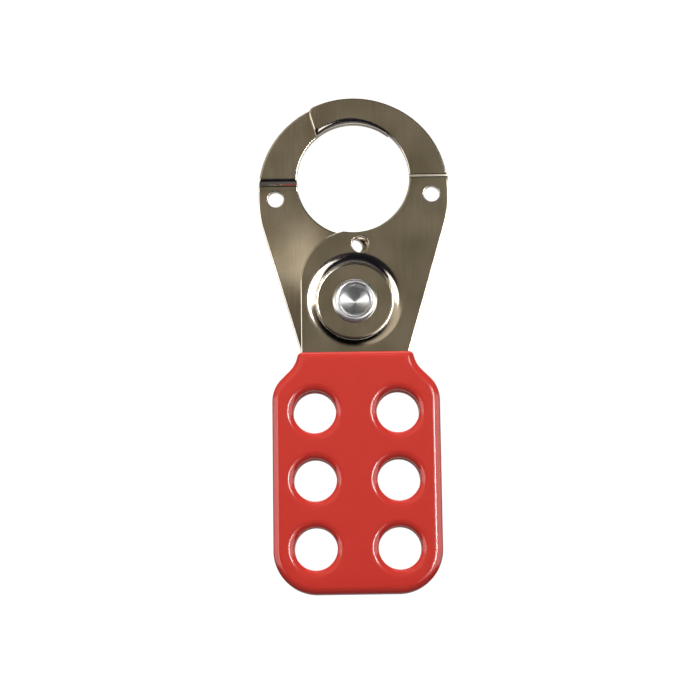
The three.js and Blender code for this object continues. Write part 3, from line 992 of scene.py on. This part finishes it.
# Each limit is a component of the direction, where the panel starts and where it is full.
panels = [
    # The dim warm wall in front.
    glow((0.20, 0.175, 0.128), 1.0, (Z, 0.02, 0.11), (Z, 0.6, 0.3)),
    # A breath of blue light from below.
    glow((0.010, 0.010, 0.016), 1.0, (Z, 0.2, 0.0)),
    # The pale floor, seen from far above.
    glow((0.13, 0.13, 0.135), 1.0, (Z, -0.55, -0.8)),
    # A cream card, high on the left.
    glow((0.62, 0.56, 0.46), 0.82, (X, -0.04, -0.11),
         (Z, 0.205, 0.265), (Z, 0.75, 0.5), (Y, -0.2, -0.4)),
    # The softbox on the right.
    glow(WHITE, 2.4, (X, 0.20, 0.24), (Z, -0.38, -0.28), (Z, 0.30, 0.22), (Y, 0.25, 0.1)),
    # The softbox on the left.
    glow(WHITE, 2.4, (X, -0.46, -0.52), (Z, -0.30, -0.22), (Z, 0.26, 0.20), (Y, 0.25, 0.1)),
    # The strip light on the right.
    glow(WHITE, 34.0, (X, 0.31, 0.32), (X, 0.39, 0.38),
         (Z, -0.2, -0.1), (Z, 0.34, 0.24), (Y, 0, -0.2)),
    # The strip light on the left.
    glow(WHITE, 3.0, (X, -0.54, -0.56), (X, -0.62, -0.60),
         (Z, -0.2, -0.1), (Z, 0.3, 0.2), (Y, 0, -0.2)),
    # The white card overhead.
    glow(WHITE, 2.0, (X, -0.42, -0.34), (X, 0.42, 0.34), (Z, 0.35, 0.5), (Y, -0.3, -0.16)),
    # White on both sides behind.
    glow(WHITE, 0.7, (Y, 0.45, 0.6), (Y, 0.98, 0.9)),
    # A warm wall straight behind.
    glow((0.25, 0.22, 0.17), 1.0, (Y, 0.9, 0.98)),
]
room = panels[0]
for panel in panels[1:]:
    room = add(tree, "ShaderNodeAddShader", {0: room.outputs[0], 1: panel.outputs[0]})
paths = add(tree, "ShaderNodeLightPath").outputs
fill = add(tree, "ShaderNodeBackground", in_Color=(1, 1, 1, 1), in_Strength=0.12)
sweep = add(tree, "ShaderNodeBackground", in_Color=(1, 1, 1, 1), in_Strength=1.05)
soft = add(tree, "ShaderNodeMixShader",
           {0: paths["Is Diffuse Ray"], 1: room.outputs[0], 2: fill.outputs[0]})
whole = add(tree, "ShaderNodeMixShader",
            {0: paths["Is Camera Ray"], 1: soft.outputs[0], 2: sweep.outputs[0]})
add(tree, "ShaderNodeOutputWorld", {"Surface": whole.outputs[0]})
print("world with", len(panels), "panels of light")

# %% [markdown]
# Two large soft lights, one high in front and one high behind, light the vinyl, which is matt
# compared with the metal. They are left out of reflections, because the panels are what the
# metal is meant to show. The floor is a sheet of white paper, lit evenly.

# %% Lights, floor and colour
def softbox(name, place_mm, size_mm, power):
    data = bpy.data.lights.new(name, "AREA")
    data.shape, data.size, data.size_y = "RECTANGLE", size_mm[0] / 1000, size_mm[1] / 1000
    data.energy = power
    light = bpy.data.objects.new(name, data)
    bpy.context.scene.collection.objects.link(light)
    light.location = Vector(place_mm) / 1000
    aim = Vector((0, 0, -0.038)) - light.location
    light.rotation_euler = aim.to_track_quat("-Z", "Y").to_euler()
    light.visible_camera = False
    return light


front_light = softbox("key_light", (-150, -620, 800), (600, 400), 10.0)
back_light = softbox("back_light", (200, 900, 500), (700, 500), 7.0)
front_light.visible_glossy = back_light.visible_glossy = False

bpy.ops.object.select_all(action="DESELECT")
bpy.ops.mesh.primitive_plane_add(size=14, location=(0, 0, -0.32))
floor = bpy.context.object
floor.name = "floor"
paper, tree, shader = new_material("matt_white_paper_sweep")
shader.inputs["Base Color"].default_value = hex_colour("#f4f4f2")
shader.inputs["Roughness"].default_value = 0.9
# The sweep is lit from under as well, as a light table is, which keeps it pale all over.
shader.inputs["Emission Color"].default_value = hex_colour("#f4f4f2")
shader.inputs["Emission Strength"].default_value = 0.62
floor.data.materials.append(paper)
floor.visible_glossy = False
floor.visible_diffuse = False
floor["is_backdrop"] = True
bpy.context.scene.view_settings.view_transform = "Standard"
print("lights:", front_light.name, back_light.name, "and", floor.name, "at z = -320 mm")

# %% [markdown]
# ## Camera
# The camera stands 435 mm in front of the object and looks slightly up at it.

# %% Camera
ELEVATION = math.radians(-9)
DISTANCE = 435
TARGET = Vector((-1.2, 0, -39.1))
LEAN = math.radians(0.8)
behind = Vector((0, -math.cos(ELEVATION), math.sin(ELEVATION)))
level_right = Vector((1, 0, 0))
level_up = behind.cross(level_right)
right = level_right * math.cos(LEAN) - level_up * math.sin(LEAN)
up = level_right * math.sin(LEAN) + level_up * math.cos(LEAN)
camera_data = bpy.data.cameras.new("camera")
camera_data.lens, camera_data.sensor_width = 100.3, 36
camera_data.clip_start = 0.01
camera = bpy.data.objects.new("camera", camera_data)
bpy.context.scene.collection.objects.link(camera)
turn = Matrix((right, up, behind)).transposed().to_4x4()
camera.matrix_world = Matrix.Translation((TARGET + behind * DISTANCE) / 1000) @ turn
bpy.context.scene.camera = camera
print("camera at", [round(v, 1) for v in camera.location * 1000], "mm")

# %% [markdown]
# Last, the box of what is shown is worked out: the looks must not change the size.

# %% The box of what is shown
low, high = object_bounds()
